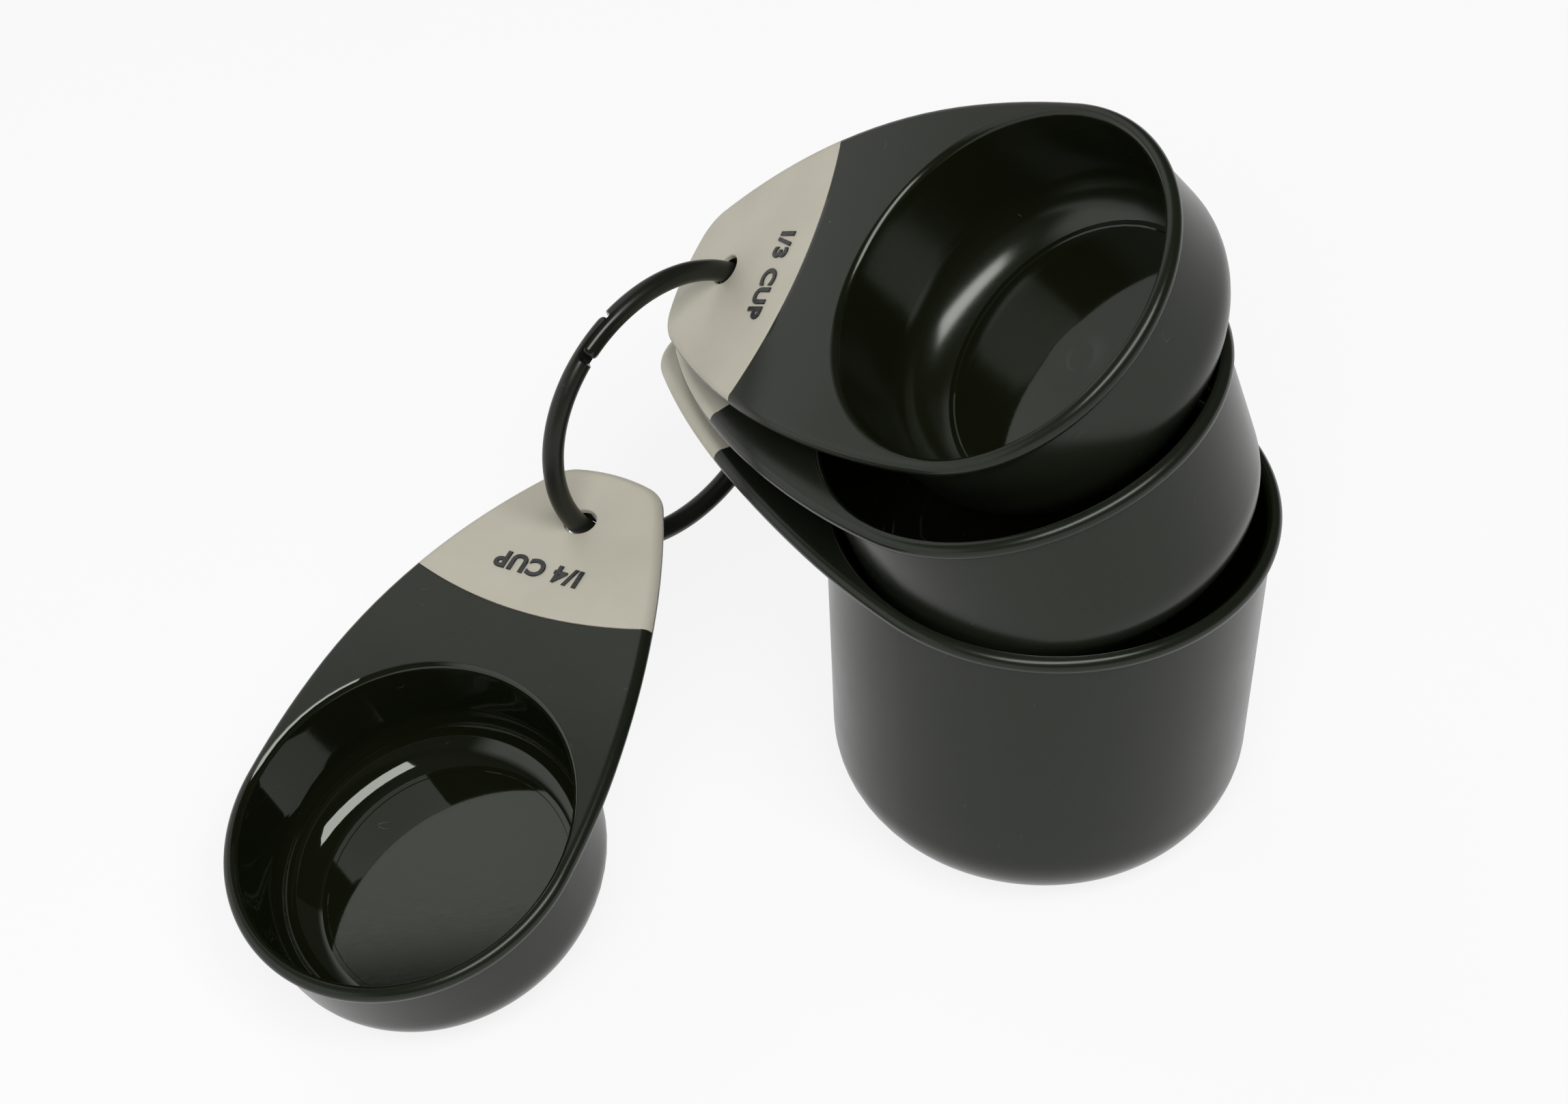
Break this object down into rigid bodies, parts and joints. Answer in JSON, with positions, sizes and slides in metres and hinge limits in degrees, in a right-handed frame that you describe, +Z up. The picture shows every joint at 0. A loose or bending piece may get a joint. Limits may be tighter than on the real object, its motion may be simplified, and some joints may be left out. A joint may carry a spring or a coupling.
{
  "type": "measuring cup set",
  "caption": "Nesting black plastic measuring cups with beige soft-grip handle tips, carried on a split plastic ring; the smallest hangs aside while the others stack.",
  "frame": {"origin": "centre of the largest cup's base, where it stands on the table", "axes": "+Z up; the camera of the picture looks along +Y, with +X to its right"},
  "size_m": [0.1765, 0.1373, 0.1309],
  "materials": {
    "black_plastic": "matte outside, polished inside the bowl",
    "beige_grip": "soft satin overmould",
    "ring_plastic": "satin"
  },
  "bodies": {
    "one": {"one_cup": "black_plastic", "one_cup_grip": "beige_grip"},
    "half": {"half_cup": "black_plastic", "half_cup_grip": "beige_grip"},
    "third": {"third_cup": "black_plastic", "third_cup_grip": "beige_grip"},
    "quarter": {"quarter_cup": "black_plastic", "quarter_cup_grip": "beige_grip"},
    "ring": {"carrier_ring": "ring_plastic"}
  },
  "joints": [
    {"name": "half_cup_lift", "type": "hinge", "parent": "one", "child": "half", "pos_m": [-0.06429, 0.02787, 0.06105], "axis": [0.6665, -0.7376, 0.108], "range_deg": [0, 32]},
    {"name": "third_cup_lift", "type": "hinge", "parent": "half", "child": "third", "pos_m": [-0.06429, 0.02787, 0.06105], "axis": [0.6665, -0.7376, 0.108], "range_deg": [0, 30]},
    {"name": "quarter_cup_lift", "type": "hinge", "parent": "one", "child": "quarter", "pos_m": [-0.06429, 0.02787, 0.06105], "axis": [0.6665, -0.7376, 0.108], "range_deg": [-60, 0]},
    {"name": "ring_turn", "type": "hinge", "parent": "one", "child": "ring", "pos_m": [-0.06429, 0.02787, 0.06105], "axis": [0.6665, -0.7376, 0.108], "continuous": true}
  ]
}
